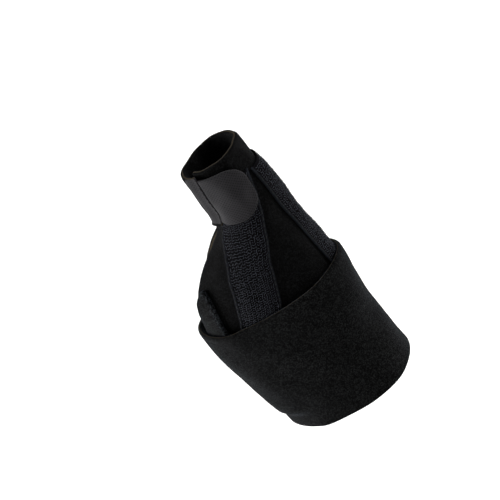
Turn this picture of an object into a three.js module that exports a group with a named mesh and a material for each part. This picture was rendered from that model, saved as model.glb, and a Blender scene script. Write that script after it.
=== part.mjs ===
// A thumb spica splint: a neoprene panel that forms a sleeve round the thumb and flares over the base of
// the thumb to the wrist, two stay pockets of loop tape sewn on it, a woven closing tab, and a broad
// neoprene strap wound about a turn and a third round the wrist.
//
// Millimetres. The splint is for a right hand and keeps the form that it has when it is worn. +Z runs along
// the forearm to the fingertips, +X to the thumb's side and -Y to the palm's side. The origin is the middle
// of the wrist at the strap's lower edge. Angles are degrees round the limb, from the thumb's side over the
// palm.
import * as THREE from "three";

// Limb that the splint fits, without the splint.
const WRIST_WIDTH = 59;
const WRIST_DEPTH = 43;
const HEEL_WIDTH = 68;
const HEEL_DEPTH = 42;
const THUMB_BORE = 25.4;
const THUMB_OUT = 22.2;
const THUMB_FORWARD = 4;

// Heights.
const SPLINT_HEIGHT = 159;
const STRAP_HEIGHT = 75;
const PANEL_LOW = 12;
const TAPE_LOW = 18;

// Thicknesses and the clearance between pieces.
const NEOPRENE = 3;
const TAPE = 1;
const STAY_RISE = 1.1;
const TAB_THICKNESS = 1.6;
const SEAT_GAP = 0.3;

// Loop tapes.
const TAPE_WIDTH = 25;
const TAPE_MARGIN = 4;
const PALM_TAPE_BELOW_RIM = 13;
const BACK_TAPE_BELOW_RIM = 15;

// Closing tab, the angle of the seam that joins it to the panel, how the tab is turned on the thumb, and
// the height over which the panel's lower edge sweeps up to it.
const TAB_WIDTH = 29;
const TAB_LENGTH = 21.5;
const TAB_CORNER = 10;
const TAB_BELOW_RIM = 4;
const TAB_SEAM = 133;
const TAB_TURN = 8;
const TAB_SWEEP = 9;

// Strap: where it starts and ends, how much higher it starts than it runs over the palm, and how it settles
// on the limb below the turn that it covers. START_LEAN and TONGUE_LENGTH are in degrees.
const STRAP_START = 129;
const START_LEAN = 9;
const STRAP_END = 605;
const STRAP_CLIMB = 21;
const STRAP_CORNER = 9;
const TONGUE_LENGTH = 38;
const STRAP_RAMP = 18;
const SETTLE_SHARE = 0.65;
const SETTLE_BELOW = 4;
const SETTLE_RUN = 7;

// Angles between which the panel's back edge lifts off the limb to lap over its front edge, and how far it
// stays off that edge.
const LAP_ROOT = -156;
const LAP_LAID = -192;
const LAP_EASE = 0.7;

// Form of the limb. rise is a share of SPLINT_HEIGHT, heel the share of the way from the wrist's oval to
// the heel of the hand's, lean its middle's place to the thumb's side as a share of WRIST_WIDTH, and thumb
// the share of the way from there to the thumb's round.
const FORM = [
  { rise: -0.06, heel: 0.05, lean: 0.013, thumb: 0 },
  { rise: 0.0, heel: 0.04, lean: 0.013, thumb: 0 },
  { rise: 0.08, heel: -0.04, lean: 0.012, thumb: 0 },
  { rise: 0.16, heel: 0.13, lean: -0.004, thumb: 0 },
  { rise: 0.25, heel: 0.51, lean: -0.021, thumb: 0 },
  { rise: 0.34, heel: 0.88, lean: -0.022, thumb: 0 },
  { rise: 0.47, heel: 1.0, lean: -0.004, thumb: 0 },
  { rise: 0.56, heel: 0.98, lean: 0, thumb: 0.03 },
  { rise: 0.61, heel: 0.95, lean: 0, thumb: 0.12 },
  { rise: 0.66, heel: 0.95, lean: 0, thumb: 0.34 },
  { rise: 0.72, heel: 0.95, lean: 0, thumb: 0.7 },
  { rise: 0.79, heel: 0.95, lean: 0, thumb: 0.95 },
  { rise: 0.85, heel: 0.95, lean: 0, thumb: 1.0 },
  { rise: 1.05, heel: 0.95, lean: 0, thumb: 1.0 },
];

// Panel's edges: front is the edge on the palm, back the edge on the back of the hand.
const EDGES = [
  { rise: 0.0, front: 166, back: -152 },
  { rise: 0.47, front: 164, back: -152 },
  { rise: 0.58, front: 159, back: -142 },
  { rise: 0.62, front: 157, back: -138 },
  { rise: 0.66, front: 164, back: -140 },
  { rise: 0.72, front: 179, back: -156 },
  { rise: 0.76, front: 178, back: -172 },
  { rise: 0.9, front: 142, back: -190 },
  { rise: 1.05, front: 136, back: -190 },
];

// Middle lines of the two tapes.
const TAPES = [
  { rise: 0.0, palm: 108, back: -6 },
  { rise: 0.44, palm: 101, back: -6 },
  { rise: 0.5, palm: 95, back: -6 },
  { rise: 0.6, palm: 89.5, back: -6 },
  { rise: 0.66, palm: 91, back: -6 },
  { rise: 0.74, palm: 104, back: -6 },
  { rise: 0.78, palm: 107.5, back: -6 },
  { rise: 0.85, palm: 99.5, back: -7 },
  { rise: 0.95, palm: 79, back: -8 },
];

// Edges of the strap. past is degrees past STRAP_START, low the lower edge's height as a share of
// STRAP_CLIMB, and high the upper edge's height above STRAP_HEIGHT as a share of it. The strap starts in a
// narrow tongue on the palm, and widens as it runs round the back of the wrist.
const STRAP_EDGES = [
  { past: 0, low: 1, high: 0.74 },
  { past: 3, low: 1, high: 0.94 },
  { past: 8, low: 1, high: 1.1 },
  { past: 13, low: 1, high: 1.16 },
  { past: 19, low: 1, high: 1.04 },
  { past: 24, low: 1, high: 0.58 },
  { past: 30, low: 1, high: 0.18 },
  { past: 37, low: 0.99, high: -0.02 },
  { past: 60, low: 0.96, high: -0.16 },
  { past: 140, low: 0.45, high: -0.14 },
  { past: 205, low: 0.03, high: -0.12 },
  { past: 245, low: 0, high: 0 },
  { past: 290, low: 0, high: 0 },
  { past: 405, low: 0.1, high: 0.09 },
  { past: 430, low: 0.06, high: -0.02 },
  { past: 475, low: 0, high: -0.06 },
];

const OVAL_POWER = 2.3;
const ROUND_POWER = 2;

// Mesh pitches in millimetres, and columns.
const PANEL_PITCH = 5.2;
const SWEEP_PITCH = 1.5;
const PANEL_COLUMNS = 29;
const LAP_COLUMNS = 7;
const TAPE_PITCH = 4.6;
const TAPE_COLUMNS = 8;
const TAB_PITCH = 3;
const TAB_COLUMNS = 12;
const STRAP_PITCH = 7;
const TONGUE_COLUMNS = 12;
const STRAP_COLUMNS = 64;

// Heights that follow from the sizes above.
const TAB_HIGH = SPLINT_HEIGHT - TAB_BELOW_RIM;
const TAB_LOW = TAB_HIGH - TAB_WIDTH;
const PALM_TAPE_HIGH = SPLINT_HEIGHT - PALM_TAPE_BELOW_RIM;
const BACK_TAPE_HIGH = SPLINT_HEIGHT - BACK_TAPE_BELOW_RIM;

const TURN = 360;
const mix = THREE.MathUtils.lerp;
const smooth = THREE.MathUtils.smoothstep;

// Value of a table's column called name at a place in its column called along, on a curve that runs
// through the rows and doesn't overshoot them.
function column(table, along, name, place) {
  const last = table.length - 1;
  let row = 0;
  while (row < last - 1 && table[row + 1][along] < place) row++;
  const span = (i) => table[i + 1][along] - table[i][along];
  const slope = (i) => (table[i + 1][name] - table[i][name]) / span(i);
  const tangent = (i) => {
    if (i === 0) return slope(0);
    if (i === last) return slope(last - 1);
    const before = slope(i - 1);
    const after = slope(i);
    return before * after <= 0 ? 0 : (2 * before * after) / (before + after);
  };
  const t = THREE.MathUtils.clamp((place - table[row][along]) / span(row), 0, 1);
  const rest = 1 - t;
  return (
    table[row][name] * (1 + 2 * t) * rest * rest +
    tangent(row) * span(row) * t * rest * rest +
    table[row + 1][name] * t * t * (3 - 2 * t) -
    tangent(row + 1) * span(row) * t * t * rest
  );
}

const edge = (name, z) => column(EDGES, "rise", name, z / SPLINT_HEIGHT);
const tapeMiddle = (name, z) => column(TAPES, "rise", name, z / SPLINT_HEIGHT);

// Point on the limb at a height and an angle.
function limb(z, angle) {
  const heel = column(FORM, "rise", "heel", z / SPLINT_HEIGHT);
  const lean = column(FORM, "rise", "lean", z / SPLINT_HEIGHT) * WRIST_WIDTH;
  const thumb = column(FORM, "rise", "thumb", z / SPLINT_HEIGHT);
  const handWidth = mix(WRIST_WIDTH, HEEL_WIDTH, heel) / 2;
  const handDepth = mix(WRIST_DEPTH, HEEL_DEPTH, heel) / 2;
  const halfWidth = mix(handWidth, THUMB_BORE / 2, thumb);
  const halfDepth = mix(handDepth, THUMB_BORE / 2, thumb);
  const thumbSide = mix(handWidth, THUMB_OUT + THUMB_BORE / 2, thumb);
  const power = 2 / mix(OVAL_POWER, ROUND_POWER, thumb);
  const c = Math.cos(THREE.MathUtils.degToRad(angle));
  const s = Math.sin(THREE.MathUtils.degToRad(angle));
  return new THREE.Vector3(
    lean + thumbSide - halfWidth + halfWidth * Math.sign(c) * Math.abs(c) ** power,
    -THUMB_FORWARD * thumb - halfDepth * Math.sign(s) * Math.abs(s) ** power,
    z,
  );
}

// The same point moved out from the limb, square to it.
function outward(z, angle, distance) {
  const step = 0.5;
  const round = limb(z, angle + step).sub(limb(z, angle - step));
  const up = limb(z + step, angle).sub(limb(z - step, angle));
  return limb(z, angle).addScaledVector(up.cross(round).normalize(), distance);
}

// Angle reached by going a distance round the limb from an angle, at a height and a distance off it.
function walk(z, angle, distance, off) {
  const strides = 12;
  let reached = angle;
  for (let i = 0; i < strides; i++) {
    const perDegree = outward(z, reached + 1, off).distanceTo(outward(z, reached, off));
    reached += distance / strides / perDegree;
  }
  return reached;
}

// Distance round the limb from one angle to another, at a height and a distance off it.
function run(z, from, to, off) {
  const strides = 12;
  let total = 0;
  for (let i = 0; i < strides; i++) {
    const here = outward(z, mix(from, to, i / strides), off);
    total += here.distanceTo(outward(z, mix(from, to, (i + 1) / strides), off));
  }
  return total * Math.sign(to - from);
}

// Evenly spaced values from one to another, about a pitch apart.
function levels(from, to, pitch) {
  const count = Math.max(1, Math.round(Math.abs(to - from) / pitch));
  return Array.from({ length: count + 1 }, (_, i) => mix(from, to, i / count));
}

// Rows across a band whose end has two rounded corners: up is the height in the band, and cut the length
// that the corner takes off its end there.
function roundedRows(width, radius, steps, pitch) {
  const corner = levels(0, Math.PI / 2, Math.PI / 2 / steps).map((turn) => ({
    up: radius * (1 - Math.cos(turn)),
    cut: radius * (1 - Math.sin(turn)),
  }));
  const between = levels(radius, width - radius, pitch).slice(1, -1);
  return [
    ...corner,
    ...between.map((up) => ({ up, cut: 0 })),
    ...corner.map(({ up, cut }) => ({ up: width - up, cut })).reverse(),
  ];
}

// A closed sheet. place(row, share, depth) gives a point for a row, a share of the way across, and depth 0
// on the inner face or 1 on the outer one. Rows run up and shares run to larger angles.
function sheet(rows, across, place) {
  const wide = across + 1;
  const face = rows.length * wide;
  const positions = [];
  for (const depth of [0, 1]) {
    for (const row of rows) {
      for (let i = 0; i < wide; i++) positions.push(...place(row, i / across, depth).toArray());
    }
  }
  const index = [];
  const quad = (a, b, c, d) => index.push(a, b, c, a, c, d);
  for (let r = 0; r < rows.length - 1; r++) {
    for (let i = 0; i < across; i++) {
      const a = r * wide + i;
      quad(a, a + 1, a + wide + 1, a + wide);
      quad(face + a, face + a + wide, face + a + wide + 1, face + a + 1);
    }
    const left = r * wide;
    const right = left + across;
    quad(left, left + wide, face + left + wide, face + left);
    quad(right, face + right, face + right + wide, right + wide);
  }
  const top = (rows.length - 1) * wide;
  for (let i = 0; i < across; i++) {
    quad(i, face + i, face + i + 1, i + 1);
    quad(top + i, top + i + 1, face + top + i + 1, face + top + i);
  }
  const geometry = new THREE.BufferGeometry();
  geometry.setAttribute("position", new THREE.Float32BufferAttribute(positions, 3));
  geometry.setIndex(index);
  return geometry;
}

// Height of the stay under a tape, at a distance from the tape's middle line and from its nearer end.
function stayLift(fromMiddle, fromEnd) {
  const half = TAPE_WIDTH / 2;
  const side = 1 - smooth(Math.abs(fromMiddle), half - 2 * TAPE_MARGIN, half - TAPE_MARGIN / 2);
  return STAY_RISE * side * smooth(fromEnd, 0, 2 * TAPE_MARGIN);
}

// Distance off the limb that clears the palm's tape, where the panel's end and the tab are pressed on it.
function overPalmTape(z, angle) {
  const seat = NEOPRENE + SEAT_GAP;
  const fromMiddle = run(z, tapeMiddle("palm", z), angle, seat);
  const tapeSide = TAPE_WIDTH / 2 + TAPE_MARGIN / 2;
  const onTape = 1 - smooth(Math.abs(fromMiddle), tapeSide, tapeSide + 2 * TAPE_MARGIN);
  return seat + mix(LAP_EASE, TAPE + SEAT_GAP, onTape) + stayLift(fromMiddle, PALM_TAPE_HIGH - z);
}

// Angle of the tab's seam, which leans with the tab.
function seam(z) {
  const degree = THREE.MathUtils.degToRad(THUMB_BORE / 2 + NEOPRENE);
  const lean = Math.tan(THREE.MathUtils.degToRad(TAB_TURN));
  return TAB_SEAM - (lean * (z - (TAB_LOW + TAB_HIGH) / 2)) / degree;
}

// Panel's back edge, which sweeps round the web of the thumb to the tab's seam and runs up that.
function backEdge(z) {
  return mix(edge("back", z), seam(z) - TURN, smooth(z, TAB_LOW - TAB_SWEEP, TAB_LOW));
}

// Panel: the thumb sleeve and the flare over the base of the thumb, cut from one sheet. Its back edge
// laps over the front one and runs on as the closing strap.
function panelGeometry() {
  const rows = [
    ...levels(PANEL_LOW, TAB_LOW - TAB_SWEEP, PANEL_PITCH),
    ...levels(TAB_LOW - TAB_SWEEP, TAB_LOW, SWEEP_PITCH).slice(1, -1),
    ...levels(TAB_LOW, SPLINT_HEIGHT, PANEL_PITCH),
  ];
  const lapShare = LAP_COLUMNS / PANEL_COLUMNS;
  return sheet(rows, PANEL_COLUMNS, (z, share, depth) => {
    const back = backEdge(z);
    const root = Math.max(LAP_ROOT, back + LAP_COLUMNS);
    const angle =
      share < lapShare
        ? mix(back, root, share / lapShare)
        : mix(root, edge("front", z), (share - lapShare) / (1 - lapShare));
    const lap = 1 - smooth(angle, LAP_LAID, LAP_ROOT);
    return outward(z, angle, lap * overPalmTape(z, angle + TURN) + NEOPRENE * depth);
  });
}

// Stay pocket: loop tape sewn down along both sides, lifted in the middle by the stay inside.
function pocketGeometry(name, high) {
  const seat = NEOPRENE + SEAT_GAP;
  return sheet(levels(TAPE_LOW, high, TAPE_PITCH), TAPE_COLUMNS, (z, share, depth) => {
    const fromMiddle = (share - 0.5) * TAPE_WIDTH;
    const angle = walk(z, tapeMiddle(name, z), fromMiddle, seat);
    const lift = stayLift(fromMiddle, Math.min(z - TAPE_LOW, high - z));
    return outward(z, angle, seat + depth * (TAPE + lift));
  });
}

// Tab: woven hook tape, sewn to the end of the closing strap and pressed on the palm's tape.
function tabGeometry() {
  const rows = roundedRows(TAB_WIDTH, TAB_CORNER, 6, TAB_PITCH);
  const fall = Math.sin(THREE.MathUtils.degToRad(TAB_TURN));
  return sheet(rows, TAB_COLUMNS, ({ up, cut }, share, depth) => {
    const along = mix(TAB_LENGTH - cut, SEAT_GAP, share);
    const z = TAB_LOW + up - fall * (along - TAB_LENGTH / 2);
    const angle = walk(z, seam(z), -along, NEOPRENE + SEAT_GAP);
    return outward(z, angle, overPalmTape(z, angle) + TAB_THICKNESS * depth);
  });
}

// Height in the strap at an angle, at a share of the way from its lower edge to its upper one.
function strapHeight(angle, share) {
  const low = STRAP_CLIMB * column(STRAP_EDGES, "past", "low", angle - STRAP_START);
  const high = STRAP_HEIGHT + STRAP_CLIMB * column(STRAP_EDGES, "past", "high", angle - STRAP_START);
  return mix(low, high, share);
}

// Distance of the strap's inner face off the limb.
function strapOff(z, angle) {
  const tapeEdge = walk(z, tapeMiddle("back", z), -TAPE_WIDTH / 2 - TAPE_MARGIN, NEOPRENE) + TURN;
  const again = STRAP_START + TURN;
  const lap = smooth(angle, again - STRAP_RAMP, again);
  const tapes = smooth(angle, tapeEdge - STRAP_RAMP, tapeEdge) * (1 - lap);
  const coveredLow = strapHeight(Math.max(angle - TURN, STRAP_START), 0) - SETTLE_BELOW;
  const settle = SETTLE_SHARE * (1 - smooth(z, coveredLow - SETTLE_RUN, coveredLow));
  const overTapes = TAPE + STAY_RISE + SEAT_GAP;
  const overTurn = NEOPRENE + SEAT_GAP;
  return NEOPRENE + SEAT_GAP + overTapes * tapes + overTurn * lap * (1 - settle);
}

// Strap: starts on the palm's edge of the panel, runs round the back of the wrist and over the two tapes,
// covers its own start and ends on the back. Its columns are closer in the tongue that it starts in.
function strapGeometry() {
  const rows = roundedRows(STRAP_HEIGHT, STRAP_CORNER, 4, STRAP_PITCH);
  const tongueShare = TONGUE_COLUMNS / STRAP_COLUMNS;
  const tongueEnd = STRAP_START + TONGUE_LENGTH;
  return sheet(rows, STRAP_COLUMNS, ({ up, cut }, share, depth) => {
    const row = up / STRAP_HEIGHT;
    const start = STRAP_START + START_LEAN * (1 - row);
    const end = walk(strapHeight(STRAP_END, row), STRAP_END, -cut, NEOPRENE);
    const angle =
      share < tongueShare
        ? mix(start, tongueEnd, share / tongueShare)
        : mix(tongueEnd, end, (share - tongueShare) / (1 - tongueShare));
    const z = strapHeight(angle, row);
    return outward(z, angle, strapOff(z, angle) + NEOPRENE * depth);
  });
}

function piece(name, geometry, colour, roughness) {
  const material = new THREE.MeshStandardMaterial({ color: colour, roughness, metalness: 0 });
  const mesh = new THREE.Mesh(geometry, material);
  mesh.name = name;
  return mesh;
}

const splint = new THREE.Group();
splint.add(
  piece("thumb_panel", panelGeometry(), 0x141516, 0.95),
  piece("palm_stay_pocket", pocketGeometry("palm", PALM_TAPE_HIGH), 0x1a1b20, 0.9),
  piece("back_stay_pocket", pocketGeometry("back", BACK_TAPE_HIGH), 0x1a1b20, 0.9),
  piece("thumb_tab", tabGeometry(), 0x3b3a3f, 0.8),
  piece("wrist_strap", strapGeometry(), 0x121314, 0.95),
);

export default splint;
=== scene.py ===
# A thumb spica splint for the right side, closed as when in use: a black neoprene thumb sleeve with two stay
# pockets of loop tape, a grey woven closing tab and a broad neoprene wrist strap.
#
# Metres, in the part's own frame: +Z runs up from the strap to the sleeve's rim, +X to the back pocket's
# side and -Y to the tab's side. Angles are degrees round the splint, from +X over -Y.
import math

import bpy
import numpy as np
from mathutils import Matrix, Vector


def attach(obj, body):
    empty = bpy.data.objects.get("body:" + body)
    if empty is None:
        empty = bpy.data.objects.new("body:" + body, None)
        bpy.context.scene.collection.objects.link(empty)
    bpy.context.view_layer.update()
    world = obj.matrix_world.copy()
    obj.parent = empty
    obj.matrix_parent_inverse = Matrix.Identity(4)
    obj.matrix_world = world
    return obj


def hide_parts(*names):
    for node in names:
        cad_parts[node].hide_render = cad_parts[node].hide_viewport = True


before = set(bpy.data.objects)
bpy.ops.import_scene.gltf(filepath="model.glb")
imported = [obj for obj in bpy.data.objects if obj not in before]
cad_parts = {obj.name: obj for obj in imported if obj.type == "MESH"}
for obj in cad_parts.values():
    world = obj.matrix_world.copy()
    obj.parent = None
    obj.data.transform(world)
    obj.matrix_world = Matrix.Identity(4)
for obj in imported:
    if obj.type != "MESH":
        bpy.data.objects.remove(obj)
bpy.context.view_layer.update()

# Camera. It looks at the tab's side from a little above, with a long lens, and is rolled so that the strap
# lies low on the right as it does in the photograph. AIM is measured along its side, rise and away lines.
AZIMUTH = math.radians(17)
ELEVATION = math.radians(27)
ROLL = math.radians(39.5)
DISTANCE = 1.0
LENS = 141.2
AIM = Vector((0.00424, 0.0874, -0.042))

side = Vector((math.cos(AZIMUTH), math.sin(AZIMUTH), 0))
rise = Vector((
    -math.sin(AZIMUTH) * math.sin(ELEVATION),
    math.cos(AZIMUTH) * math.sin(ELEVATION),
    math.cos(ELEVATION),
))
away = rise.cross(side)
camera_data = bpy.data.cameras.new("camera")
camera_data.lens = LENS
camera = bpy.data.objects.new("camera", camera_data)
right = side * math.cos(ROLL) - rise * math.sin(ROLL)
up = side * math.sin(ROLL) + rise * math.cos(ROLL)
target = side * AIM.x + rise * AIM.y + away * AIM.z
camera.matrix_world = (
    Matrix.Translation(target - away * DISTANCE) @ Matrix((right, up, -away)).transposed().to_4x4()
)
bpy.context.collection.objects.link(camera)
bpy.context.scene.camera = camera
bpy.context.scene.view_settings.view_transform = "Standard"


# White studio: a pale paper floor well below the splint, white walls, a dim ceiling and three broad soft
# lights. The photograph has a clean white ground, and most of its light comes from the left.
def linear(colour):
    """Linear red, green, blue and alpha of an sRGB hex colour."""
    channels = [int(colour[i:i + 2], 16) / 255 for i in (1, 3, 5)]
    return [c / 12.92 if c <= 0.04045 else ((c + 0.055) / 1.055) ** 2.4 for c in channels] + [1]


def add_node(tree, kind, inputs=None, **settings):
    """Adds a node with its settings. An input is a value or another node's output.

    Inputs go by name, and by number where a node has several of one name, as a Mix node's colours 6 and 7.
    """
    node = tree.nodes.new(kind)
    for name, value in settings.items():
        setattr(node, name, value)
    for name, value in (inputs or {}).items():
        if isinstance(value, bpy.types.NodeSocket):
            tree.links.new(value, node.inputs[name])
        else:
            node.inputs[name].default_value = value
    return node


def new_material(name):
    """An empty node material and its tree."""
    material = bpy.data.materials.new(name)
    material.use_nodes = True
    material.node_tree.nodes.clear()
    return material, material.node_tree


FLOOR_LEVEL = -0.3
FLOOR_HALF = 12
FLOOR_WHITE = "#f7f7f6"
CEILING_STRENGTH = 0.1
WALL_STRENGTH = 1.0
WALL_HEIGHT = 0.16
# Each light stands towards a direction in the picture: to the right, up, and towards the camera. Its
# softness is the angle in degrees that it fills.
LIGHTS = [
    {"name": "palm_side", "towards": (-0.95, -0.42, 0.0), "strength": 10.5, "softness": 50},
    {"name": "fingers_side", "towards": (0.6, 0.8, 0.12), "strength": 5.1, "softness": 40},
    {"name": "overhead", "towards": (-0.57, 0.69, 0.45), "strength": 0.9, "softness": 60},
]

floor_mesh = bpy.data.meshes.new("floor")
floor_corners = [
    (x * FLOOR_HALF, y * FLOOR_HALF, FLOOR_LEVEL) for x, y in ((-1, -1), (1, -1), (1, 1), (-1, 1))
]
floor_mesh.from_pydata(floor_corners, [], [(0, 1, 2, 3)])
floor = bpy.data.objects.new("floor", floor_mesh)
bpy.context.collection.objects.link(floor)
paper, tree = new_material("white_studio_paper")
surface = add_node(
    tree, "ShaderNodeBsdfPrincipled", {"Base Color": linear(FLOOR_WHITE), "Roughness": 0.9}
)
add_node(tree, "ShaderNodeOutputMaterial", {"Surface": surface.outputs[0]})
floor_mesh.materials.append(paper)

world = bpy.data.worlds.new("studio")
bpy.context.scene.world = world
world.use_nodes = True
sky = world.node_tree
sky.nodes.clear()
# The walls are bright up to WALL_HEIGHT, as a share of the way to the zenith, and fade into the ceiling.
direction = add_node(sky, "ShaderNodeTexCoord").outputs["Generated"]
level = add_node(sky, "ShaderNodeSeparateXYZ", {"Vector": direction}).outputs["Z"]
strength = add_node(
    sky, "ShaderNodeMapRange",
    {"Value": level, "From Min": WALL_HEIGHT, "From Max": 2 * WALL_HEIGHT,
     "To Min": WALL_STRENGTH, "To Max": CEILING_STRENGTH},
)
surround = add_node(
    sky, "ShaderNodeBackground", {"Color": linear("#ffffff"), "Strength": strength.outputs[0]}
)
add_node(sky, "ShaderNodeOutputWorld", {"Surface": surround.outputs[0]})

for light in LIGHTS:
    data = bpy.data.lights.new(light["name"], "SUN")
    data.energy = light["strength"]
    data.angle = math.radians(light["softness"])
    lamp = bpy.data.objects.new(light["name"], data)
    x, y, z = light["towards"]
    towards = right * x + up * y - away * z
    lamp.location = target + towards
    lamp.rotation_euler = (-towards).to_track_quat("-Z", "Y").to_euler()
    bpy.context.collection.objects.link(lamp)


# Thumb panel: 3 mm neoprene foam with a black knit on both faces, cut from one sheet and wrapped into a
# sleeve that flares down to the strap. Its back edge laps over its front edge and runs on as the closing
# strap, which ends at the tab's seam.
WRIST_WIDTH = 0.059
WRIST_DEPTH = 0.043
HEEL_WIDTH = 0.068
HEEL_DEPTH = 0.042
OVAL_POWER = 2.3
THUMB_BORE = 0.0254
THUMB_OUT = 0.0222
THUMB_FORWARD = 0.004
SPLINT_HEIGHT = 0.159
PANEL_LOW = 0.012
NEOPRENE = 0.003
SEAT_GAP = 0.0003
TAB_WIDTH = 0.029
TAB_BELOW_RIM = 0.004
TAB_SEAM = 133
TAB_TURN = math.radians(8)
TAB_SWEEP = 0.009
TAB_HIGH = SPLINT_HEIGHT - TAB_BELOW_RIM
TAB_LOW = TAB_HIGH - TAB_WIDTH
# The back edge's lap starts to lift off the form at LAP_ROOT and lies full height over it from LAP_LAID on.
LAP_ROOT = -156
LAP_LAID = -192
LAP_EASE = 0.0007
TAPE = 0.001
TAPE_WIDTH = 0.025
TAPE_MARGIN = 0.004
TAPE_LOW = 0.018
STAY_RISE = 0.0011
PALM_TAPE_HIGH = SPLINT_HEIGHT - 0.013
BACK_TAPE_HIGH = SPLINT_HEIGHT - 0.015
TURN = 360

# Inner form of the splint. rise is a share of SPLINT_HEIGHT, heel the share of the way from the strap's oval
# to the panel's widest one, lean the middle's shift to +X as a share of WRIST_WIDTH, and thumb the share of
# the way from there to the sleeve's round.
FORM = {
    "rise": (-0.06, 0, 0.08, 0.16, 0.25, 0.34, 0.47, 0.56, 0.61, 0.66, 0.72, 0.79, 0.85, 1.05),
    "heel": (0.05, 0.04, -0.04, 0.13, 0.51, 0.88, 1, 0.98, 0.95, 0.95, 0.95, 0.95, 0.95, 0.95),
    "lean": (0.013, 0.013, 0.012, -0.004, -0.021, -0.022, -0.004, 0, 0, 0, 0, 0, 0, 0),
    "thumb": (0, 0, 0, 0, 0, 0, 0, 0.03, 0.12, 0.34, 0.7, 0.95, 1, 1),
}

# Angles of the panel's two edges, and of the middle lines of the two tapes.
EDGES = {
    "rise": (0, 0.47, 0.58, 0.62, 0.66, 0.72, 0.76, 0.9, 1.05),
    "front": (166, 164, 159, 157, 164, 179, 178, 142, 136),
    "back": (-152, -152, -142, -138, -140, -156, -172, -190, -190),
}
TAPES = {
    "rise": (0, 0.44, 0.5, 0.6, 0.66, 0.74, 0.78, 0.85, 0.95),
    "palm": (108, 101, 95, 89.5, 91, 104, 107.5, 99.5, 79),
    "back": (-6, -6, -6, -6, -6, -6, -6, -7, -8),
}

# Slow dents and swells that run through all the layers of a worn splint: waves of a height in metres, with so
# many turns round it, a length up it, and a phase in turns.
SWELLS = [
    {"height": 0.00035, "round": 2, "length": 0.062, "phase": 0.1},
    {"height": 0.00025, "round": 5, "length": 0.041, "phase": 0.55},
    {"height": 0.00018, "round": 9, "length": -0.033, "phase": 0.3},
]


def column(table, along, name, place):
    """Value of a table's column at a place, on a curve through its rows that doesn't overshoot them."""
    x = np.array(table[along], float)
    y = np.array(table[name], float)
    span = np.diff(x)
    slope = np.diff(y) / span
    before = slope[:-1]
    after = slope[1:]
    turning = before * after <= 0
    inner = np.where(turning, 0, 2 * before * after / np.where(turning, 1, before + after))
    tangent = np.concatenate([slope[:1], inner, slope[-1:]])
    place = np.clip(place, x[0], x[-1])
    row = np.clip(np.searchsorted(x, place) - 1, 0, len(span) - 1)
    t = (place - x[row]) / span[row]
    rest = 1 - t
    return (
        y[row] * (1 + 2 * t) * rest * rest
        + tangent[row] * span[row] * t * rest * rest
        + y[row + 1] * t * t * (3 - 2 * t)
        - tangent[row + 1] * span[row] * t * t * rest
    )


def mix(a, b, share):
    """Value at a share of the way from a to b."""
    return a + (b - a) * share


def smooth(value, low, high):
    """Share from 0 at low to 1 at high, on an S curve."""
    t = np.clip((value - low) / (high - low), 0, 1)
    return t * t * (3 - 2 * t)


def inner_form(z, angle):
    """Points on the inner form at heights and angles."""
    z, angle = np.broadcast_arrays(np.asarray(z, float), np.asarray(angle, float))
    heel = column(FORM, "rise", "heel", z / SPLINT_HEIGHT)
    lean = column(FORM, "rise", "lean", z / SPLINT_HEIGHT) * WRIST_WIDTH
    thumb = column(FORM, "rise", "thumb", z / SPLINT_HEIGHT)
    hand_width = mix(WRIST_WIDTH, HEEL_WIDTH, heel) / 2
    hand_depth = mix(WRIST_DEPTH, HEEL_DEPTH, heel) / 2
    half_width = mix(hand_width, THUMB_BORE / 2, thumb)
    half_depth = mix(hand_depth, THUMB_BORE / 2, thumb)
    thumb_side = mix(hand_width, THUMB_OUT + THUMB_BORE / 2, thumb)
    power = 2 / mix(OVAL_POWER, 2, thumb)
    c = np.cos(np.radians(angle))
    s = np.sin(np.radians(angle))
    x = lean + thumb_side - half_width + half_width * np.sign(c) * np.abs(c) ** power
    y = -THUMB_FORWARD * thumb - half_depth * np.sign(s) * np.abs(s) ** power
    return np.stack([x, y, z], -1)


def swell(z, angle):
    """Height of the slow dents and swells at a place on the form."""
    total = 0
    for wave in SWELLS:
        turns = wave["round"] * angle / TURN + z / wave["length"] + wave["phase"]
        total = total + wave["height"] * np.sin(2 * math.pi * turns)
    return total


def outward(z, angle, distance):
    """Points moved out from the inner form, square to it."""
    degrees = 0.5
    climb = 0.0005
    round_it = inner_form(z, angle + degrees) - inner_form(z, angle - degrees)
    up_it = inner_form(z + climb, angle) - inner_form(z - climb, angle)
    square = np.cross(up_it, round_it)
    square = square / np.linalg.norm(square, axis=-1, keepdims=True)
    off = np.asarray(distance + swell(z, angle))
    return inner_form(z, angle) + square * off[..., None]


def walk(z, angle, distance, off):
    """Angle reached by going a distance round the form from an angle, at a height off it."""
    strides = 12
    reached = angle + 0 * distance
    for _ in range(strides):
        degree = np.linalg.norm(outward(z, reached + 1, off) - outward(z, reached, off), axis=-1)
        reached = reached + distance / strides / degree
    return reached


def run(z, start, end, off):
    """Distance round the form from one angle to another, at a height off it."""
    strides = 12
    total = 0
    for i in range(strides):
        here = outward(z, mix(start, end, i / strides), off)
        there = outward(z, mix(start, end, (i + 1) / strides), off)
        total = total + np.linalg.norm(there - here, axis=-1)
    return total * np.sign(end - start)


def tape_middle(name, z):
    """Angle of a tape's middle line."""
    return column(TAPES, "rise", name, z / SPLINT_HEIGHT)


def stay_lift(from_middle, from_end):
    """Height of the stay under a tape, at distances from its middle line and its nearer end."""
    half = TAPE_WIDTH / 2
    flank = 1 - smooth(np.abs(from_middle), half - 2 * TAPE_MARGIN, half - TAPE_MARGIN / 2)
    return STAY_RISE * flank * smooth(from_end, 0, 2 * TAPE_MARGIN)


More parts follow.
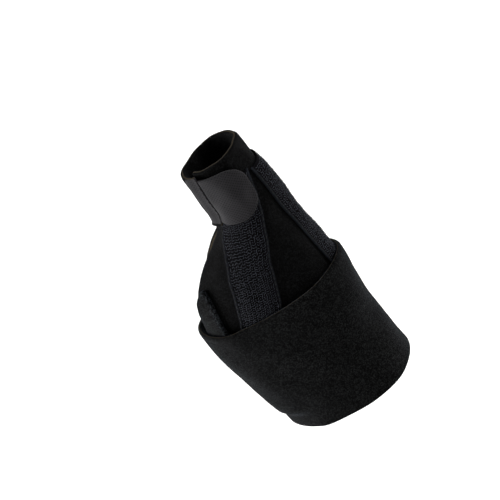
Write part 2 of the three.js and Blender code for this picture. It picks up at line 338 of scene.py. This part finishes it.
def over_palm_tape(z, angle):
    """Height off the form that clears the palm's tape."""
    seat = NEOPRENE + SEAT_GAP
    from_middle = run(z, tape_middle("palm", z), angle, seat)
    tape_side = TAPE_WIDTH / 2 + TAPE_MARGIN / 2
    on_tape = 1 - smooth(np.abs(from_middle), tape_side, tape_side + 2 * TAPE_MARGIN)
    return seat + mix(LAP_EASE, TAPE + SEAT_GAP, on_tape) + stay_lift(from_middle, PALM_TAPE_HIGH - z)


def seam(z):
    """Angle of the tab's seam, which leans with the tab."""
    length_of_degree = math.radians(THUMB_BORE / 2 + NEOPRENE)
    return TAB_SEAM - math.tan(TAB_TURN) * (z - (TAB_LOW + TAB_HIGH) / 2) / length_of_degree


def back_edge(z):
    """Angle of the panel's back edge, which sweeps round to the tab's seam."""
    line = column(EDGES, "rise", "back", z / SPLINT_HEIGHT)
    return mix(line, seam(z) - TURN, smooth(z, TAB_LOW - TAB_SWEEP, TAB_LOW))


def stations(length, pitch, radius):
    """Distances across a sheet, about a pitch apart, and closer where its two cut edges are rounded."""
    near = radius * np.array([0, 0.1, 0.3, 0.6])
    count = max(4, int(round((float(np.max(length)) - 2 * radius) / pitch)))
    length = np.asarray(length, float)[..., None]
    middle = radius + (length - 2 * radius) * np.linspace(0, 1, count + 1)
    low = np.broadcast_to(near, middle.shape[:-1] + near.shape)
    return np.concatenate([low, middle, length - low[..., ::-1]], -1)


def cut_rounding(from_edge, radius):
    """How far a face falls back where the cut edge is rounded."""
    inside = np.clip(radius - from_edge, 0, radius)
    return radius - np.sqrt(radius * radius - inside * inside)


def closed_sheet(name, inner, outer, flat, materials, outer_slots=0, edge_slots=(1, 1, 1, 1)):
    """A closed sheet from the grids of its two faces, and the grid of its flat places in metres.

    outer_slots gives the material of each outer face, and edge_slots those of the first column, the last
    column, the first row and the last row. The inner face has the first material.
    """
    rows, across = inner.shape[:2]
    number = np.arange(rows * across).reshape(rows, across)
    inside = rows * across

    def strips(a, b, c, d):
        return np.stack([a.ravel(), b.ravel(), c.ravel(), d.ravel()], -1)

    a, b, c, d = number[:-1, :-1], number[:-1, 1:], number[1:, 1:], number[1:, :-1]
    left, right_side, low, high = number[:, 0], number[:, -1], number[0], number[-1]
    faces = [
        strips(a, b, c, d),
        strips(a + inside, d + inside, c + inside, b + inside),
        strips(left[:-1], left[1:], left[1:] + inside, left[:-1] + inside),
        strips(right_side[:-1], right_side[:-1] + inside, right_side[1:] + inside, right_side[1:]),
        strips(low[:-1], low[:-1] + inside, low[1:] + inside, low[1:]),
        strips(high[:-1], high[1:], high[1:] + inside, high[:-1] + inside),
    ]
    groups = [0, np.broadcast_to(outer_slots, a.shape).ravel(), *edge_slots]
    slots = np.concatenate([np.broadcast_to(slot, len(face)) for slot, face in zip(groups, faces)])
    corners = np.concatenate(faces)
    points = np.concatenate([inner.reshape(-1, 3), outer.reshape(-1, 3)])
    places = np.concatenate([flat.reshape(-1, 2)] * 2)
    mesh = bpy.data.meshes.new(name)
    mesh.from_pydata(points.tolist(), [], corners.tolist())
    mesh.polygons.foreach_set("material_index", slots)
    mesh.polygons.foreach_set("use_smooth", np.ones(len(corners), bool))
    weave = mesh.uv_layers.new(name="weave")
    order = np.zeros(len(mesh.loops), int)
    mesh.loops.foreach_get("vertex_index", order)
    weave.data.foreach_set("uv", places[order].ravel())
    for material in materials:
        mesh.materials.append(material)
    mesh.update()
    made = bpy.data.objects.new(name, mesh)
    bpy.context.collection.objects.link(made)
    return made


def threads(name, lines, square, radius, sides, material):
    """Thin closed tubes along many short lines at once. square is the way off the cloth at each point."""
    count, points = lines.shape[:2]
    along = np.gradient(lines, axis=1)
    across = np.cross(along, square)
    across = across / np.linalg.norm(across, axis=-1, keepdims=True)
    off = np.cross(across, along)
    off = off / np.linalg.norm(off, axis=-1, keepdims=True)
    turn = 2 * math.pi * np.arange(sides) / sides
    ring = across[:, :, None] * np.cos(turn)[:, None] + off[:, :, None] * np.sin(turn)[:, None]
    places = lines[:, :, None] + radius * ring
    number = np.arange(count * points * sides).reshape(count, points, sides)
    here, after = number[:, :-1], number[:, 1:]
    walls = np.stack([here, np.roll(here, -1, 2), np.roll(after, -1, 2), after], -1).reshape(-1, 4)
    ends = np.concatenate([number[:, 0, ::-1], number[:, -1]])
    mesh = bpy.data.meshes.new(name)
    mesh.from_pydata(places.reshape(-1, 3).tolist(), [], walls.tolist() + ends.tolist())
    mesh.polygons.foreach_set("use_smooth", np.ones(len(mesh.polygons), bool))
    mesh.materials.append(material)
    mesh.update()
    made = bpy.data.objects.new(name, mesh)
    bpy.context.collection.objects.link(made)
    return made


# Knit faced neoprene. The knit is a fine matt jersey with short fibres that stand up, so it looks near
# black straight on and shows a faint cool sheen at its turned sides. Polyester's IOR is 1.54; the fibres
# hide most of the mirror reflection, so its level is low.
#
# Its wales are about 0.6 mm apart and its fibres about 0.02 mm thick. The wales are drawn 1 mm apart, and
# the fibres as tufts of 0.5 mm, about a pixel, so that they show.
WALE_PITCH = 0.001
TUFT_SIZE = 0.0005
TUFT_SHARE = 0.45
WEAR_SIZE = 1 / 45
KNIT_DEEP = "#010101"
# The next colour is a painted highlight, laid on the lit turned edges of the strap's tongue.
KNIT_PAINTED_HIGHLIGHT = "#25282b"
KNIT_SHEEN = "#b9c8e0"


def knit_faced_neoprene(name, fresh, worn, sheen, ribbed):
    """Black jersey, from fresh to worn in slow patches, and paler where a point attribute marks a painted
    highlight.
    """
    material, tree = new_material(name)
    place = add_node(tree, "ShaderNodeTexCoord").outputs["Object"]
    weave = add_node(tree, "ShaderNodeUVMap", uv_map="weave").outputs["UV"]
    across = add_node(tree, "ShaderNodeSeparateXYZ", {"Vector": weave}).outputs["X"]
    turns = add_node(
        tree, "ShaderNodeMath", {0: across, 1: 2 * math.pi / WALE_PITCH}, operation="MULTIPLY"
    )
    wales = add_node(tree, "ShaderNodeMath", {0: turns.outputs[0]}, operation="SINE")
    fuzz = add_node(
        tree, "ShaderNodeTexNoise",
        {"Vector": place, "Scale": 1 / TUFT_SIZE, "Detail": 2.0, "Roughness": 0.6},
    )
    wear = add_node(tree, "ShaderNodeTexNoise", {"Vector": place, "Scale": 1 / WEAR_SIZE, "Detail": 3.0})
    height = add_node(
        tree, "ShaderNodeMath",
        {0: wales.outputs[0], 1: ribbed, 2: fuzz.outputs["Fac"]}, operation="MULTIPLY_ADD",
    )
    tufts = add_node(tree, "ShaderNodeTexVoronoi", {"Vector": place, "Scale": 1 / TUFT_SIZE})
    tuft = add_node(tree, "ShaderNodeSeparateColor", {"Color": tufts.outputs["Color"]})
    raised = add_node(
        tree, "ShaderNodeMath",
        {0: tuft.outputs["Red"], 1: TUFT_SHARE, 2: height.outputs[0]}, operation="MULTIPLY_ADD",
    )
    fleck = add_node(
        tree, "ShaderNodeMapRange", {"Value": raised.outputs[0], "From Min": 0.7, "From Max": 0.9}
    )
    flat_face = add_node(
        tree, "ShaderNodeMix",
        {"Factor": wear.outputs["Fac"], 6: linear(fresh), 7: linear(worn)}, data_type="RGBA",
    )
    painted_highlight = add_node(tree, "ShaderNodeAttribute", attribute_name="painted_highlight").outputs["Fac"]
    face = add_node(
        tree, "ShaderNodeMix",
        {"Factor": painted_highlight, 6: flat_face.outputs[2], 7: linear(KNIT_PAINTED_HIGHLIGHT)}, data_type="RGBA",
    )
    colour = add_node(
        tree, "ShaderNodeMix",
        {"Factor": fleck.outputs[0], 6: linear(KNIT_DEEP), 7: face.outputs[2]}, data_type="RGBA",
    )
    bump = add_node(
        tree, "ShaderNodeBump", {"Height": height.outputs[0], "Strength": 0.8, "Distance": 0.0004}
    )
    surface = add_node(tree, "ShaderNodeBsdfPrincipled", {
        "Base Color": colour.outputs[2], "Roughness": 0.85, "IOR": 1.54, "Specular IOR Level": 0.02,
        "Sheen Weight": sheen, "Sheen Roughness": 0.3, "Sheen Tint": linear(KNIT_SHEEN),
        "Normal": bump.outputs[0],
    })
    add_node(tree, "ShaderNodeOutputMaterial", {"Surface": surface.outputs[0]})
    return material


# Foam at a cut edge. The foam between the knit faces is a dark brown rubber with fine open cells, so a cut
# edge is matt and slightly pitted. The cells are about 0.2 mm wide, and drawn at 0.5 mm so that they show.
FOAM_BROWN = "#2a2315"
FOAM_DARK = "#100d08"
CELL_SIZE = 0.0005


def cut_foam(name):
    """Dark brown foam, pitted by its open cells."""
    material, tree = new_material(name)
    place = add_node(tree, "ShaderNodeTexCoord").outputs["Object"]
    cells = add_node(tree, "ShaderNodeTexVoronoi", {"Vector": place, "Scale": 1 / CELL_SIZE})
    colour = add_node(
        tree, "ShaderNodeMix",
        {"Factor": cells.outputs["Distance"], 6: linear(FOAM_BROWN), 7: linear(FOAM_DARK)}, data_type="RGBA",
    )
    bump = add_node(
        tree, "ShaderNodeBump", {"Height": cells.outputs["Distance"], "Strength": 0.5, "Distance": 0.0002}
    )
    surface = add_node(tree, "ShaderNodeBsdfPrincipled", {
        "Base Color": colour.outputs[2], "Roughness": 0.9, "IOR": 1.5, "Specular IOR Level": 0.1,
        "Normal": bump.outputs[0],
    })
    add_node(tree, "ShaderNodeOutputMaterial", {"Surface": surface.outputs[0]})
    return material


# Woven back of the tab's hook tape, which is also sewn over the end of the closing strap; its grey there is
# partly a painted highlight of that lit end. The dots lie in a checked pattern of 0.8 mm, as the hooks of
# such a tape do, and are painted dark as the shade in their small hollows. The yarn, about 0.1 mm thick, is
# drawn at 0.7 mm so that it shows.
TAB_GREY = "#161517"
TAB_LIGHT = "#1d1c1e"
# The darkest colour is painted shade in the hollows at the hooks' roots.
TAB_PIT_SHADE = "#040405"
DOT_PITCH = 0.0008
YARN_SIZE = 0.001 / 1.5


def woven_hook_tape(name):
    """Nylon weave, matt and charcoal, with a small hollow wherever a hook's root passes through, painted dark
    as its shade.
    """
    material, tree = new_material(name)
    weave = add_node(tree, "ShaderNodeUVMap", uv_map="weave").outputs["UV"]
    parts = add_node(tree, "ShaderNodeSeparateXYZ", {"Vector": weave})
    waves = []
    for axis in ("X", "Y"):
        turns = add_node(
            tree, "ShaderNodeMath", {0: parts.outputs[axis], 1: math.pi / DOT_PITCH}, operation="MULTIPLY"
        )
        waves.append(add_node(tree, "ShaderNodeMath", {0: turns.outputs[0]}, operation="SINE"))
    product = add_node(
        tree, "ShaderNodeMath", {0: waves[0].outputs[0], 1: waves[1].outputs[0]}, operation="MULTIPLY"
    )
    dots = add_node(
        tree, "ShaderNodeMapRange", {"Value": product.outputs[0], "From Min": 0.15, "From Max": 0.75}
    )
    place = add_node(tree, "ShaderNodeTexCoord").outputs["Object"]
    grain = add_node(tree, "ShaderNodeTexNoise", {"Vector": place, "Scale": 1 / YARN_SIZE, "Detail": 2.0})
    cloth = add_node(
        tree, "ShaderNodeMix",
        {"Factor": grain.outputs["Fac"], 6: linear(TAB_GREY), 7: linear(TAB_LIGHT)}, data_type="RGBA",
    )
    colour = add_node(
        tree, "ShaderNodeMix",
        {"Factor": dots.outputs[0], 6: cloth.outputs[2], 7: linear(TAB_PIT_SHADE)}, data_type="RGBA",
    )
    hollow = add_node(
        tree, "ShaderNodeMath",
        {0: grain.outputs["Fac"], 1: dots.outputs[0]}, operation="SUBTRACT",
    )
    bump = add_node(
        tree, "ShaderNodeBump", {"Height": hollow.outputs[0], "Strength": 0.4, "Distance": 0.0002}
    )
    surface = add_node(tree, "ShaderNodeBsdfPrincipled", {
        "Base Color": colour.outputs[2], "Roughness": 0.8, "IOR": 1.53, "Specular IOR Level": 0.08,
        "Sheen Weight": 0.02, "Normal": bump.outputs[0],
    })
    add_node(tree, "ShaderNodeOutputMaterial", {"Surface": surface.outputs[0]})
    return material


# The panel's mesh. At the tab's seam its edge is pinched thin, and its last few millimetres there are covered
# by the woven tape, whose grey there is partly a painted highlight of that lit end of the closing strap.
PANEL_PITCH = 0.0013
PANEL_ROUNDING = 0.0011
PANEL_FRESH = "#070808"
PANEL_WORN = "#0e0e0f"
BOUND_AND_LIT_END = 0.0045
PINCH = 0.0013
PINCH_FROM = 0.0008
PINCH_TO = 0.0042
INNER_ROUNDING_AT_TAB = 0.5
tab_cloth = woven_hook_tape("grey_hook_tape")
panel_knit = knit_faced_neoprene("panel_knit_neoprene", PANEL_FRESH, PANEL_WORN, sheen=0.012, ribbed=0.05)
foam = cut_foam("cut_neoprene_foam")

panel_rows = PANEL_LOW + stations(SPLINT_HEIGHT - PANEL_LOW, PANEL_PITCH, PANEL_ROUNDING)
back = back_edge(panel_rows)
front = column(EDGES, "rise", "front", panel_rows / SPLINT_HEIGHT)
panel_length = run(panel_rows, back, front, NEOPRENE / 2)
from_back = stations(panel_length, PANEL_PITCH, PANEL_ROUNDING)
z = panel_rows[:, None] + 0 * from_back
angle = mix(back[:, None], front[:, None], from_back / panel_length[:, None])
lap = 1 - smooth(angle, LAP_LAID, LAP_ROOT)
lap_off = lap * over_palm_tape(z, angle + TURN)
from_cut = np.minimum.reduce([
    from_back, panel_length[:, None] - from_back, z - PANEL_LOW, SPLINT_HEIGHT - z
])
drop = cut_rounding(from_cut, PANEL_ROUNDING)
at_tab = smooth(z, TAB_LOW - TAB_SWEEP / 2, TAB_LOW)
pinch = PINCH * at_tab * (1 - smooth(from_back, PINCH_FROM, PINCH_TO))
kept = mix(1, INNER_ROUNDING_AT_TAB, at_tab * (from_back < PANEL_ROUNDING))
panel_inner = outward(z, angle, lap_off + drop * kept)
panel_outer = outward(z, angle, lap_off + NEOPRENE - np.maximum(drop, pinch))
panel_flat = np.stack([from_back, z], -1)
# Faces at the panel's end beside the tab that take the woven tape; its grey there is partly a painted
# highlight.
bound_and_lit = (from_back[:-1, :-1] < BOUND_AND_LIT_END) & (z[:-1, :-1] > TAB_LOW)
panel = closed_sheet(
    "thumb_panel_dressed", panel_inner, panel_outer, panel_flat, [panel_knit, foam, tab_cloth],
    2 * bound_and_lit, (np.where(panel_rows[:-1] > TAB_LOW, 2, 1), 1, 1, 1),
)
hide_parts("thumb_panel")
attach(panel, "root")


# Closing tab: grey hook tape with its woven back outwards, sewn to the end of the closing strap and pressed
# on the palm's loop tape. Its free end has rounded corners.
TAB_LENGTH = 0.0215
TAB_CORNER = 0.010
TAB_THICKNESS = 0.0016
TAB_PITCH = 0.0008
TAB_ROUNDING = 0.0006


def rounded_rows(width, radius, pitch, steps):
    """Heights in a band whose end has two rounded corners, and the length that is cut off its end there."""
    turn = np.linspace(0, math.pi / 2, steps + 1)
    corner_up = radius * (1 - np.cos(turn))
    corner_cut = radius * (1 - np.sin(turn))
    count = max(1, int(round((width - 2 * radius) / pitch)))
    between = np.linspace(radius, width - radius, count + 1)[1:-1]
    heights = np.concatenate([corner_up, between, width - corner_up[::-1]])
    cuts = np.concatenate([corner_cut, 0 * between, corner_cut[::-1]])
    return heights, cuts


def from_rounded_end(along, height, width, radius):
    """Distance from a band's cut edge: its sides and its rounded end, from which along is measured."""
    middle = np.abs(height - width / 2)
    past = np.hypot(
        np.maximum(radius - along, 0), np.maximum(middle - (width / 2 - radius), 0)
    )
    straight = np.minimum(along, width / 2 - middle)
    in_corner = (along < radius) & (middle > width / 2 - radius)
    return np.where(in_corner, radius - past, straight)


heights, cuts = rounded_rows(TAB_WIDTH, TAB_CORNER, TAB_PITCH, steps=10)
tab_length = TAB_LENGTH - SEAT_GAP - cuts
from_end = stations(tab_length, TAB_PITCH, TAB_ROUNDING) + cuts[:, None]
height = heights[:, None] + 0 * from_end
from_seam = TAB_LENGTH - from_end
z = TAB_LOW + height - math.sin(TAB_TURN) * (from_seam - TAB_LENGTH / 2)
angle = walk(z, seam(z), -from_seam, NEOPRENE + SEAT_GAP)
from_cut = np.minimum(
    from_rounded_end(from_end, height, TAB_WIDTH, TAB_CORNER), from_seam - SEAT_GAP
)
drop = cut_rounding(np.maximum(from_cut, 0), TAB_ROUNDING)
tab_off = over_palm_tape(z, angle)
tab_inner = outward(z, angle, tab_off + drop)
tab_outer = outward(z, angle, tab_off + TAB_THICKNESS - drop)
tab_flat = np.stack([from_end, height], -1)
tab = closed_sheet("thumb_tab_dressed", tab_inner, tab_outer, tab_flat, [tab_cloth, tab_cloth])
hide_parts("thumb_tab")
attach(tab, "root")

# Stitches of black nylon thread, 3 mm apart. Each lies on the cloth and dips into it at both ends, by
# STITCH_DEEP thread radii, and rises STITCH_RISE radii from there. THREAD_STEP is the height between two
# points that give the way off the cloth.
STITCH_PITCH = 0.003
STITCH_LENGTH = 0.0024
STITCH_RADIUS = 0.00022
STITCH_DEEP = 1.5
STITCH_RISE = 2.2
STITCH_POINTS = 6
STITCH_SIDES = 6
SEAM_ASIDE = 0.6
THREAD_STEP = 0.001


def stitches(name, count, place, thread):
    """A row of stitches. place(along, up) gives the point that far along the row and up off the cloth."""
    share = np.linspace(0, 1, STITCH_POINTS)
    start = STITCH_PITCH * (np.arange(count) + 0.5)[:, None] - STITCH_LENGTH / 2
    along = start + STITCH_LENGTH * share
    up = STITCH_RADIUS * (STITCH_RISE * np.sin(math.pi * share) ** 0.5 - STITCH_DEEP) + 0 * along
    lines = place(along, up)
    square = place(along, up + THREAD_STEP) - lines
    return threads(name, lines, square, STITCH_RADIUS, STITCH_SIDES, thread)


def nylon_thread(name, colour):
    """Spun nylon, with a slight shine that the matt cloth round it hasn't."""
    material, tree = new_material(name)
    surface = add_node(tree, "ShaderNodeBsdfPrincipled", {
        "Base Color": linear(colour), "Roughness": 0.6, "IOR": 1.53, "Specular IOR Level": 0.08,
    })
    add_node(tree, "ShaderNodeOutputMaterial", {"Surface": surface.outputs[0]})
    return material


dark_thread = nylon_thread("black_sewing_thread", "#060606")


def at_seam(along, up):
    """Point on the closing strap beside the tab's seam."""
    z = TAB_LOW + along
    off = over_palm_tape(z, seam(z))
    return outward(z, seam(z) + SEAM_ASIDE, off + TAB_THICKNESS + up)


tab_seam = stitches("tab_seam_stitches", int(TAB_WIDTH / STITCH_PITCH), at_seam, dark_thread)
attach(tab_seam, "root")


# Stay pockets: 25 mm loop tape, woven with a nap of small loops, sewn down on the panel along both sides
# over a flat stay. One runs up under the tab and one along the sleeve's outer side.
TAPE_PITCH = 0.001
TAPE_ROUNDING = 0.0004
LOOP_GREY = "#313339"
TAPE_BLACK = "#020203"
TAPE_FLECK = "#070708"
# The selvedge's grey is partly its denser weave and partly a painted highlight of the tapes' lit edges.
SELVEDGE_AND_HIGHLIGHT_GREY = "#1a1c20"
SELVEDGE = 0.0016
PUCKER_PITCH = 0.004
PUCKER_HEIGHT = 0.00012
# Loops and stitches start at LOOPS_FROM, just under the strap's rim, where the tape comes into sight. Real
# loops are finer and about 0.6 mm apart: these are as coarse as they need to be to show one by one.
LOOPS_FROM = 0.0745
BARE_END = 0.001
LOOP_ROW = 0.00125
LOOP_COLUMN = 0.0012
LOOP_SPAN = 0.00105
LOOP_RISE = 0.00042
LOOP_RADIUS = 0.00012
LOOP_LEAN = math.radians(40)
LOOP_POINTS = 6
LOOP_SIDES = 3
LEAN_SPREAD = 0.3
PLACE_SPREAD = 0.00012
SPAN_SPREAD = 0.2
RISE_SPREAD = 0.25
WEFT_SIZE = 0.001 / 1.8


def loop_tape(name):
    """Black woven nylon ground, matt and grainy, with a grey selvedge along both sides: a denser weave,
    lightened further by a painted highlight.
    """
    material, tree = new_material(name)
    place = add_node(tree, "ShaderNodeTexCoord").outputs["Object"]
    grain = add_node(tree, "ShaderNodeTexNoise", {"Vector": place, "Scale": 1 / WEFT_SIZE, "Detail": 2.0})
    fleck = add_node(
        tree, "ShaderNodeMapRange", {"Value": grain.outputs["Fac"], "From Min": 0.5, "From Max": 0.7}
    )
    ground = add_node(
        tree, "ShaderNodeMix",
        {"Factor": fleck.outputs[0], 6: linear(TAPE_BLACK), 7: linear(TAPE_FLECK)}, data_type="RGBA",
    )
    weave = add_node(tree, "ShaderNodeUVMap", uv_map="weave").outputs["UV"]
    across = add_node(tree, "ShaderNodeSeparateXYZ", {"Vector": weave}).outputs["X"]
    from_middle = add_node(tree, "ShaderNodeMath", {0: across}, operation="ABSOLUTE")
    border = add_node(
        tree, "ShaderNodeMapRange",
        {"Value": from_middle.outputs[0],
         "From Min": TAPE_WIDTH / 2 - SELVEDGE, "From Max": TAPE_WIDTH / 2 - 0.8 * SELVEDGE},
    )
    selvedge_and_highlight = add_node(
        tree, "ShaderNodeMath", {0: grain.outputs["Fac"], 1: border.outputs[0]}, operation="MULTIPLY"
    )
    colour = add_node(
        tree, "ShaderNodeMix",
        {"Factor": selvedge_and_highlight.outputs[0], 6: ground.outputs[2], 7: linear(SELVEDGE_AND_HIGHLIGHT_GREY)}, data_type="RGBA",
    )
    bump = add_node(
        tree, "ShaderNodeBump", {"Height": grain.outputs["Fac"], "Strength": 0.6, "Distance": 0.0003}
    )
    surface = add_node(tree, "ShaderNodeBsdfPrincipled", {
        "Base Color": colour.outputs[2], "Roughness": 0.9, "IOR": 1.54, "Specular IOR Level": 0.02,
        "Normal": bump.outputs[0],
    })
    add_node(tree, "ShaderNodeOutputMaterial", {"Surface": surface.outputs[0]})
    return material


def tape_off(z, from_middle, low, high):
    """Height of a pocket's outer face off the form. Its sewn sides pucker a little."""
    from_end = np.minimum(z - low, high - z)
    half = TAPE_WIDTH / 2
    at_side = smooth(np.abs(from_middle), half - 2 * SELVEDGE, half - SELVEDGE)
    pucker = PUCKER_HEIGHT * np.sin(2 * math.pi * z / PUCKER_PITCH) * at_side
    return NEOPRENE + SEAT_GAP + TAPE + stay_lift(from_middle, from_end) + pucker


def on_tape(name, high):
    """Gives the point on a pocket's outer face at a distance from its middle line, a height and up off it."""
    def place(from_middle, z, up):
        angle = walk(z, tape_middle(name, z), from_middle, NEOPRENE + SEAT_GAP)
        return outward(z, angle, tape_off(z, from_middle, TAPE_LOW, high) + up)
    return place


def under_tab(name, from_middle, z):
    """Where the palm's tape is covered by the tab."""
    if name != "palm":
        return np.zeros(z.shape, bool)
    angle = walk(z, tape_middle(name, z), from_middle, NEOPRENE + SEAT_GAP)
    from_seam = run(z, angle, seam(z), NEOPRENE + SEAT_GAP)
    height = z - TAB_LOW + math.sin(TAB_TURN) * (from_seam - TAB_LENGTH / 2)
    return from_rounded_end(TAB_LENGTH - from_seam, height, TAB_WIDTH, TAB_CORNER) > -LOOP_SPAN / 2


def loops(name, high, seed):
    """Nap of the tape: leaning arches of thread in rows, that lean one way and the other by turns."""
    random = np.random.default_rng(seed)
    napped = TAPE_WIDTH / 2 - SELVEDGE
    across = np.arange(-napped + LOOP_COLUMN / 2, napped, LOOP_COLUMN)
    rows = np.arange(LOOPS_FROM, high - BARE_END, LOOP_ROW)
    middle, z = np.meshgrid(across, rows)
    lean = LOOP_LEAN * np.where(np.arange(len(across)) % 2, 1, -1)
    lean = lean + LEAN_SPREAD * random.normal(size=middle.shape)
    middle = middle + PLACE_SPREAD * random.normal(size=middle.shape)
    z = z + PLACE_SPREAD * random.normal(size=z.shape)
    keep = ~under_tab(name, middle, z)
    middle, z, lean = middle[keep], z[keep], lean[keep]
    span = LOOP_SPAN * (1 + SPAN_SPREAD * random.normal(size=z.shape))
    rise = LOOP_RISE * (1 + RISE_SPREAD * random.normal(size=z.shape))
    share = np.linspace(0, 1, LOOP_POINTS)
    reach = span[:, None] * (share - 0.5)
    up = rise[:, None] * np.sin(math.pi * share) - LOOP_RADIUS
    place = on_tape(name, high)
    across_it = middle[:, None] + np.cos(lean)[:, None] * reach
    up_it = z[:, None] + np.sin(lean)[:, None] * reach
    lines = place(across_it, up_it, up)
    square = place(across_it, up_it, up + THREAD_STEP) - lines
    return threads(f"{name}_loops", lines, square, LOOP_RADIUS, LOOP_SIDES, loop_thread)


tape_cloth = loop_tape("black_loop_tape")
loop_thread = nylon_thread("nylon_loops", LOOP_GREY)
for name, high, seed in (("palm", PALM_TAPE_HIGH, 5), ("back", BACK_TAPE_HIGH, 6)):
    rows = TAPE_LOW + stations(high - TAPE_LOW, TAPE_PITCH, TAPE_ROUNDING)
    across = stations(TAPE_WIDTH, TAPE_PITCH, TAPE_ROUNDING)
    z = rows[:, None] + 0 * across
    from_middle = across - TAPE_WIDTH / 2 + 0 * z
    angle = walk(z, tape_middle(name, z), from_middle, NEOPRENE + SEAT_GAP)
    from_cut = np.minimum.reduce([across + 0 * z, TAPE_WIDTH - across + 0 * z, z - TAPE_LOW, high - z])
    drop = cut_rounding(from_cut, TAPE_ROUNDING)
    inner = outward(z, angle, NEOPRENE + SEAT_GAP + drop)
    outer = outward(z, angle, tape_off(z, from_middle, TAPE_LOW, high) - drop)
    flat = np.stack([from_middle, z], -1)
    pocket = closed_sheet(
        f"{name}_pocket_dressed", inner, outer, flat, [tape_cloth], edge_slots=(0, 0, 0, 0)
    )
    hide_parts(f"{name}_stay_pocket")
    sewn = [loops(name, high, seed)]
    place = on_tape(name, high)
    count = int((high - LOOPS_FROM) / STITCH_PITCH) - 1
    sewn_line = TAPE_WIDTH / 2 - SELVEDGE / 2
    for edge_name, middle in (("near", -sewn_line), ("far", sewn_line)):
        sewn.append(stitches(
            f"{name}_{edge_name}_stitches", count,
            lambda along, up: place(middle + 0 * along, LOOPS_FROM + along, up), dark_thread,
        ))
    for piece in [pocket, *sewn]:
        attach(piece, "root")


# Wrist strap: a 75 mm band of the same neoprene with a brushed outer face. It starts as a narrow tongue on
# the panel's front edge, runs round the back and over the tapes, covers its own start and ends on the back.
STRAP_HEIGHT = 0.075
STRAP_START = 129
START_LEAN = 9
STRAP_END = 605
STRAP_CLIMB = 0.021
STRAP_CORNER = 0.009
STRAP_RAMP = 18
# Below the first turn's lower edge nothing lies under the second turn, which settles towards the form there.
SETTLE_SHARE = 0.65
SETTLE_BELOW = 0.004
SETTLE_RUN = 0.007
STRAP_PITCH = 0.0013
STRAP_ROUNDING = 0.0013
START_ROUNDING = 0.00145
TONGUE_LENGTH = 38
# Width of the painted highlight along the tongue's turned edges.
HIGHLIGHT_WIDTH = 0.0035
STRAP_FRESH = "#0b0c0c"
STRAP_WORN = "#1a1b1b"

# Edges of the strap. past is degrees past STRAP_START, low the lower edge's height as a share of
# STRAP_CLIMB, and high the upper edge's height above STRAP_HEIGHT as a share of it.
STRAP_EDGES = {
    "past": (0, 3, 8, 13, 19, 24, 30, 37, 60, 140, 205, 245, 290, 405, 430, 475),
    "low": (1, 1, 1, 1, 1, 1, 1, 0.99, 0.96, 0.45, 0.03, 0, 0, 0.1, 0.06, 0),
    "high": (
        0.74, 0.94, 1.1, 1.16, 1.04, 0.58, 0.18, -0.02, -0.16, -0.14, -0.12, 0, 0, 0.09, -0.02, -0.06,
    ),
}


def strap_height(angle, share):
    """Height in the strap at a share of the way from its lower edge to its upper one."""
    low = STRAP_CLIMB * column(STRAP_EDGES, "past", "low", angle - STRAP_START)
    high = STRAP_HEIGHT + STRAP_CLIMB * column(STRAP_EDGES, "past", "high", angle - STRAP_START)
    return mix(low, high, share)


def strap_off(z, angle):
    """Height of the strap's inner face off the form, over the panel, the tapes and its own first turn."""
    tape_edge = walk(z, tape_middle("back", z), -TAPE_WIDTH / 2 - TAPE_MARGIN, NEOPRENE) + TURN
    again = STRAP_START + TURN
    lap = smooth(angle, again - STRAP_RAMP, again)
    tapes = smooth(angle, tape_edge - STRAP_RAMP, tape_edge) * (1 - lap)
    covered_low = strap_height(np.maximum(angle - TURN, STRAP_START), 0) - SETTLE_BELOW
    settle = SETTLE_SHARE * (1 - smooth(z, covered_low - SETTLE_RUN, covered_low))
    over_tapes = TAPE + STAY_RISE + SEAT_GAP
    over_turn = NEOPRENE + SEAT_GAP
    return NEOPRENE + SEAT_GAP + over_tapes * tapes + over_turn * lap * (1 - settle)


strap_knit = knit_faced_neoprene(
    "strap_brushed_neoprene", STRAP_FRESH, STRAP_WORN, sheen=0.045, ribbed=0.02
)
heights, cuts = rounded_rows(STRAP_HEIGHT, STRAP_CORNER, STRAP_PITCH, steps=9)
row = heights / STRAP_HEIGHT
start = STRAP_START + START_LEAN * (1 - row)
full_end = np.full_like(row, STRAP_END)
end = walk(strap_height(full_end, row), full_end, -cuts, NEOPRENE)
length = run(heights, start, end, 2 * NEOPRENE)
from_start = stations(length, STRAP_PITCH, START_ROUNDING)
angle = mix(start[:, None], end[:, None], from_start / length[:, None])
height = heights[:, None] + 0 * angle
z = strap_height(angle, row[:, None])
from_end = length[:, None] - from_start + cuts[:, None]
from_cut = from_rounded_end(from_end, height, STRAP_HEIGHT, STRAP_CORNER)
in_tongue = angle < STRAP_START + TONGUE_LENGTH
from_turned = np.minimum(from_start, np.where(in_tongue, STRAP_HEIGHT - height, 1))
drop = np.maximum(
    cut_rounding(np.maximum(from_cut, 0), STRAP_ROUNDING), cut_rounding(from_turned, START_ROUNDING)
)
off = strap_off(z, angle)
strap_inner = outward(z, angle, off + drop)
strap_outer = outward(z, angle, off + NEOPRENE - drop)
strap_flat = np.stack([from_start, height], -1)
strap = closed_sheet(
    "wrist_strap_dressed", strap_inner, strap_outer, strap_flat, [strap_knit, foam],
    edge_slots=(0, 1, 1, np.where(in_tongue[-1, :-1], 0, 1)),
)
# The turned edges of the tongue get a painted highlight: paler knit that stands for the light on their fold
# ridge, which the knit reads from this attribute.
painted_highlight = strap.data.attributes.new("painted_highlight", "FLOAT", "POINT")
painted_highlight.data.foreach_set("value", np.tile((1 - smooth(from_turned, 0, HIGHLIGHT_WIDTH)).ravel(), 2))
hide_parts("wrist_strap")
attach(strap, "root")
